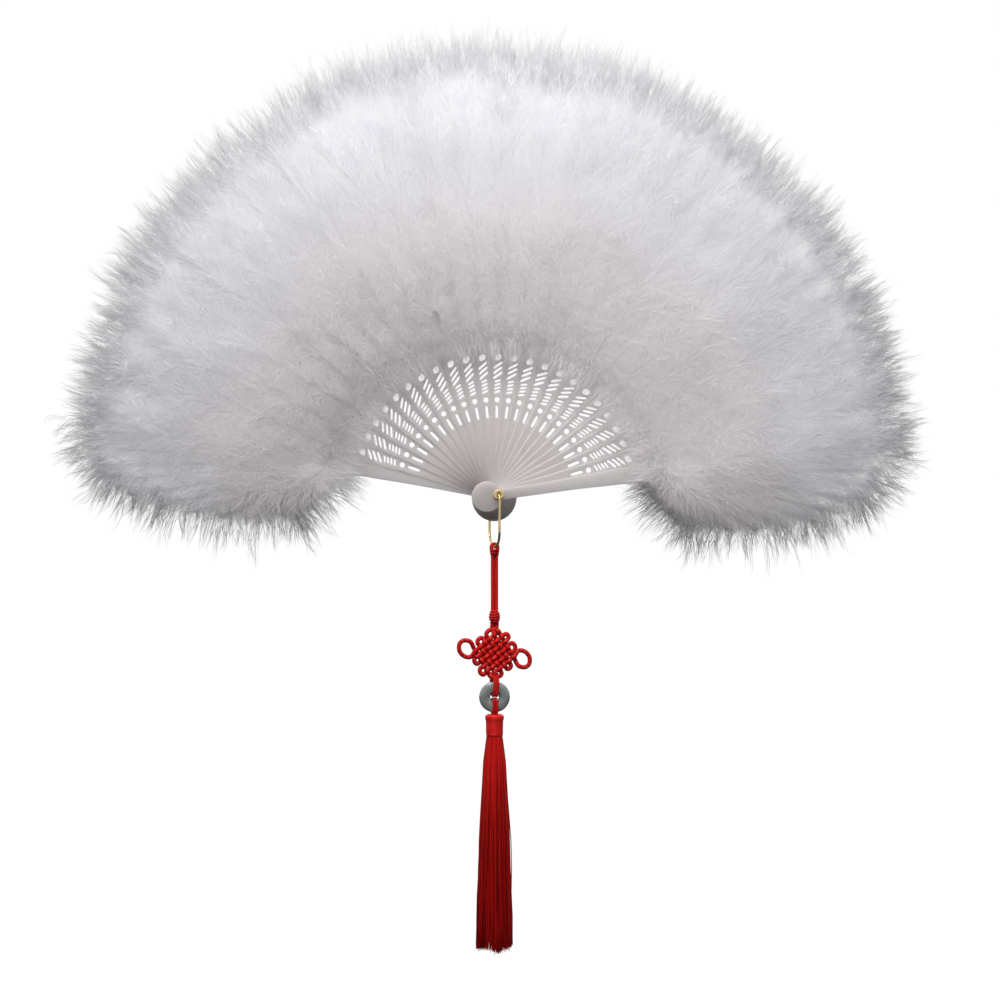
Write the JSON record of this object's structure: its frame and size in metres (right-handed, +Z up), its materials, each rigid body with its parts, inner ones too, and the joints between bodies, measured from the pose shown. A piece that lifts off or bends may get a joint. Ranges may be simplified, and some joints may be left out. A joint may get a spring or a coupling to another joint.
{
  "type": "feather folding fan",
  "caption": "Open folding hand fan with pierced white sticks, a fluffy marabou plume on every stick, and a wire bail carrying a knotted red cord, stone ring and tassel.",
  "frame": {"origin": "on the rivet's axis, half way through the stack of sticks, where the fan is held", "axes": "+Z up, +X to the right of the open fan seen from its front, -Y out of the front; the open fan lies in the XZ plane"},
  "size_m": [0.5122, 0.055, 0.5438],
  "materials": {
    "white_plastic": "satin translucent white",
    "white_feather": "soft white marabou down",
    "brass": "bright drawn wire",
    "red_cord": "satin braided cord",
    "red_silk": "lustrous loose yarn",
    "green_stone": "polished grey-green",
    "white_ribbon": "satin tape"
  },
  "bodies": {
    "blade_12": {"stick_12": "white_plastic", "plume_12": "white_feather", "pivot_rivet": "brass", "rivet_washer": "brass", "link_ribbon": "white_ribbon"},
    "rear_guard_blade": {"rear_guard": "white_plastic", "rear_guard_plume": "white_feather"},
    "blade_01": {"stick_01": "white_plastic", "plume_01": "white_feather"},
    "blade_02": {"stick_02": "white_plastic", "plume_02": "white_feather"},
    "blade_03": {"stick_03": "white_plastic", "plume_03": "white_feather"},
    "blade_04": {"stick_04": "white_plastic", "plume_04": "white_feather"},
    "blade_05": {"stick_05": "white_plastic", "plume_05": "white_feather"},
    "blade_06": {"stick_06": "white_plastic", "plume_06": "white_feather"},
    "blade_07": {"stick_07": "white_plastic", "plume_07": "white_feather"},
    "blade_08": {"stick_08": "white_plastic", "plume_08": "white_feather"},
    "blade_09": {"stick_09": "white_plastic", "plume_09": "white_feather"},
    "blade_10": {"stick_10": "white_plastic", "plume_10": "white_feather"},
    "blade_11": {"stick_11": "white_plastic", "plume_11": "white_feather"},
    "blade_13": {"stick_13": "white_plastic", "plume_13": "white_feather"},
    "blade_14": {"stick_14": "white_plastic", "plume_14": "white_feather"},
    "blade_15": {"stick_15": "white_plastic", "plume_15": "white_feather"},
    "blade_16": {"stick_16": "white_plastic", "plume_16": "white_feather"},
    "blade_17": {"stick_17": "white_plastic", "plume_17": "white_feather"},
    "blade_18": {"stick_18": "white_plastic", "plume_18": "white_feather"},
    "blade_19": {"stick_19": "white_plastic", "plume_19": "white_feather"},
    "blade_20": {"stick_20": "white_plastic", "plume_20": "white_feather"},
    "blade_21": {"stick_21": "white_plastic", "plume_21": "white_feather"},
    "blade_22": {"stick_22": "white_plastic", "plume_22": "white_feather"},
    "blade_23": {"stick_23": "white_plastic", "plume_23": "white_feather"},
    "front_guard_blade": {"front_guard": "white_plastic", "front_guard_plume": "white_feather"},
    "bail": {"wire_bail": "brass"},
    "pendant": {"hanging_cord": "red_cord", "mystic_knot": "red_cord"},
    "ring": {"stone_ring": "green_stone", "tassel_loop": "red_cord"},
    "tassel": {"tassel_cap": "red_silk", "tassel_skirt": "red_silk"}
  },
  "joints": [
    {"name": "front_guard_fold", "type": "hinge", "parent": "blade_12", "child": "front_guard_blade", "pos_m": [0, 0, 0], "axis": [0, -1, 0], "range_deg": [0, 80.04], "deforming": ["front_guard_plume", "plume_12", "link_ribbon"]},
    {"name": "rear_guard_fold", "type": "hinge", "parent": "blade_12", "child": "rear_guard_blade", "pos_m": [0, 0, 0], "axis": [0, -1, 0], "range_deg": [-80.24, 0], "deforming": ["rear_guard_plume"]},
    {"name": "blade_01_fold", "type": "hinge", "parent": "blade_12", "child": "blade_01", "pos_m": [0, 0, 0], "axis": [0, -1, 0], "range_deg": [-73.57, 0], "deforming": ["plume_01"]},
    {"name": "blade_02_fold", "type": "hinge", "parent": "blade_12", "child": "blade_02", "pos_m": [0, 0, 0], "axis": [0, -1, 0], "range_deg": [-66.9, 0], "deforming": ["plume_02"]},
    {"name": "blade_03_fold", "type": "hinge", "parent": "blade_12", "child": "blade_03", "pos_m": [0, 0, 0], "axis": [0, -1, 0], "range_deg": [-60.23, 0], "deforming": ["plume_03"]},
    {"name": "blade_04_fold", "type": "hinge", "parent": "blade_12", "child": "blade_04", "pos_m": [0, 0, 0], "axis": [0, -1, 0], "range_deg": [-53.56, 0], "deforming": ["plume_04"]},
    {"name": "blade_05_fold", "type": "hinge", "parent": "blade_12", "child": "blade_05", "pos_m": [0, 0, 0], "axis": [0, -1, 0], "range_deg": [-46.89, 0], "deforming": ["plume_05"]},
    {"name": "blade_06_fold", "type": "hinge", "parent": "blade_12", "child": "blade_06", "pos_m": [0, 0, 0], "axis": [0, -1, 0], "range_deg": [-40.22, 0], "deforming": ["plume_06"]},
    {"name": "blade_07_fold", "type": "hinge", "parent": "blade_12", "child": "blade_07", "pos_m": [0, 0, 0], "axis": [0, -1, 0], "range_deg": [-33.55, 0], "deforming": ["plume_07"]},
    {"name": "blade_08_fold", "type": "hinge", "parent": "blade_12", "child": "blade_08", "pos_m": [0, 0, 0], "axis": [0, -1, 0], "range_deg": [-26.88, 0], "deforming": ["plume_08"]},
    {"name": "blade_09_fold", "type": "hinge", "parent": "blade_12", "child": "blade_09", "pos_m": [0, 0, 0], "axis": [0, -1, 0], "range_deg": [-20.21, 0], "deforming": ["plume_09"]},
    {"name": "blade_10_fold", "type": "hinge", "parent": "blade_12", "child": "blade_10", "pos_m": [0, 0, 0], "axis": [0, -1, 0], "range_deg": [-13.54, 0], "deforming": ["plume_10"]},
    {"name": "blade_11_fold", "type": "hinge", "parent": "blade_12", "child": "blade_11", "pos_m": [0, 0, 0], "axis": [0, -1, 0], "range_deg": [-6.87, 0], "deforming": ["plume_11"]},
    {"name": "blade_13_fold", "type": "hinge", "parent": "blade_12", "child": "blade_13", "pos_m": [0, 0, 0], "axis": [0, -1, 0], "range_deg": [0, 6.87], "deforming": ["plume_13"]},
    {"name": "blade_14_fold", "type": "hinge", "parent": "blade_12", "child": "blade_14", "pos_m": [0, 0, 0], "axis": [0, -1, 0], "range_deg": [0, 13.54], "deforming": ["plume_14"]},
    {"name": "blade_15_fold", "type": "hinge", "parent": "blade_12", "child": "blade_15", "pos_m": [0, 0, 0], "axis": [0, -1, 0], "range_deg": [0, 20.21], "deforming": ["plume_15"]},
    {"name": "blade_16_fold", "type": "hinge", "parent": "blade_12", "child": "blade_16", "pos_m": [0, 0, 0], "axis": [0, -1, 0], "range_deg": [0, 26.88], "deforming": ["plume_16"]},
    {"name": "blade_17_fold", "type": "hinge", "parent": "blade_12", "child": "blade_17", "pos_m": [0, 0, 0], "axis": [0, -1, 0], "range_deg": [0, 33.55], "deforming": ["plume_17"]},
    {"name": "blade_18_fold", "type": "hinge", "parent": "blade_12", "child": "blade_18", "pos_m": [0, 0, 0], "axis": [0, -1, 0], "range_deg": [0, 40.22], "deforming": ["plume_18"]},
    {"name": "blade_19_fold", "type": "hinge", "parent": "blade_12", "child": "blade_19", "pos_m": [0, 0, 0], "axis": [0, -1, 0], "range_deg": [0, 46.89], "deforming": ["plume_19"]},
    {"name": "blade_20_fold", "type": "hinge", "parent": "blade_12", "child": "blade_20", "pos_m": [0, 0, 0], "axis": [0, -1, 0], "range_deg": [0, 53.56], "deforming": ["plume_20"]},
    {"name": "blade_21_fold", "type": "hinge", "parent": "blade_12", "child": "blade_21", "pos_m": [0, 0, 0], "axis": [0, -1, 0], "range_deg": [0, 60.23], "deforming": ["plume_21"]},
    {"name": "blade_22_fold", "type": "hinge", "parent": "blade_12", "child": "blade_22", "pos_m": [0, 0, 0], "axis": [0, -1, 0], "range_deg": [0, 66.9], "deforming": ["plume_22"]},
    {"name": "blade_23_fold", "type": "hinge", "parent": "blade_12", "child": "blade_23", "pos_m": [0, 0, 0], "axis": [0, -1, 0], "range_deg": [0, 73.57], "deforming": ["plume_23"]},
    {"name": "bail_swing", "type": "hinge", "parent": "blade_12", "child": "bail", "pos_m": [0, 0, 0], "axis": [0, -1, 0], "range_deg": [-40, 40]},
    {"name": "pendant_swing", "type": "hinge", "parent": "bail", "child": "pendant", "pos_m": [0, 0, -0.0317], "axis": [0, -1, 0], "range_deg": [-20, 20]},
    {"name": "ring_swing", "type": "hinge", "parent": "pendant", "child": "ring", "pos_m": [0, 0, -0.1202], "axis": [0, -1, 0], "range_deg": [-25, 25]},
    {"name": "tassel_sway", "type": "hinge", "parent": "ring", "child": "tassel", "pos_m": [0, 0, -0.13345], "axis": [1, 0, 0], "range_deg": [-25, 25]}
  ],
  "couplings": [
    {"joint": "rear_guard_fold", "follows": "front_guard_fold", "ratio": -1},
    {"joint": "blade_01_fold", "follows": "front_guard_fold", "ratio": -0.91667},
    {"joint": "blade_02_fold", "follows": "front_guard_fold", "ratio": -0.83333},
    {"joint": "blade_03_fold", "follows": "front_guard_fold", "ratio": -0.75},
    {"joint": "blade_04_fold", "follows": "front_guard_fold", "ratio": -0.66667},
    {"joint": "blade_05_fold", "follows": "front_guard_fold", "ratio": -0.58333},
    {"joint": "blade_06_fold", "follows": "front_guard_fold", "ratio": -0.5},
    {"joint": "blade_07_fold", "follows": "front_guard_fold", "ratio": -0.41667},
    {"joint": "blade_08_fold", "follows": "front_guard_fold", "ratio": -0.33333},
    {"joint": "blade_09_fold", "follows": "front_guard_fold", "ratio": -0.25},
    {"joint": "blade_10_fold", "follows": "front_guard_fold", "ratio": -0.16667},
    {"joint": "blade_11_fold", "follows": "front_guard_fold", "ratio": -0.083333},
    {"joint": "blade_13_fold", "follows": "front_guard_fold", "ratio": 0.083333},
    {"joint": "blade_14_fold", "follows": "front_guard_fold", "ratio": 0.16667},
    {"joint": "blade_15_fold", "follows": "front_guard_fold", "ratio": 0.25},
    {"joint": "blade_16_fold", "follows": "front_guard_fold", "ratio": 0.33333},
    {"joint": "blade_17_fold", "follows": "front_guard_fold", "ratio": 0.41667},
    {"joint": "blade_18_fold", "follows": "front_guard_fold", "ratio": 0.5},
    {"joint": "blade_19_fold", "follows": "front_guard_fold", "ratio": 0.58333},
    {"joint": "blade_20_fold", "follows": "front_guard_fold", "ratio": 0.66667},
    {"joint": "blade_21_fold", "follows": "front_guard_fold", "ratio": 0.75},
    {"joint": "blade_22_fold", "follows": "front_guard_fold", "ratio": 0.83333},
    {"joint": "blade_23_fold", "follows": "front_guard_fold", "ratio": 0.91667}
  ]
}
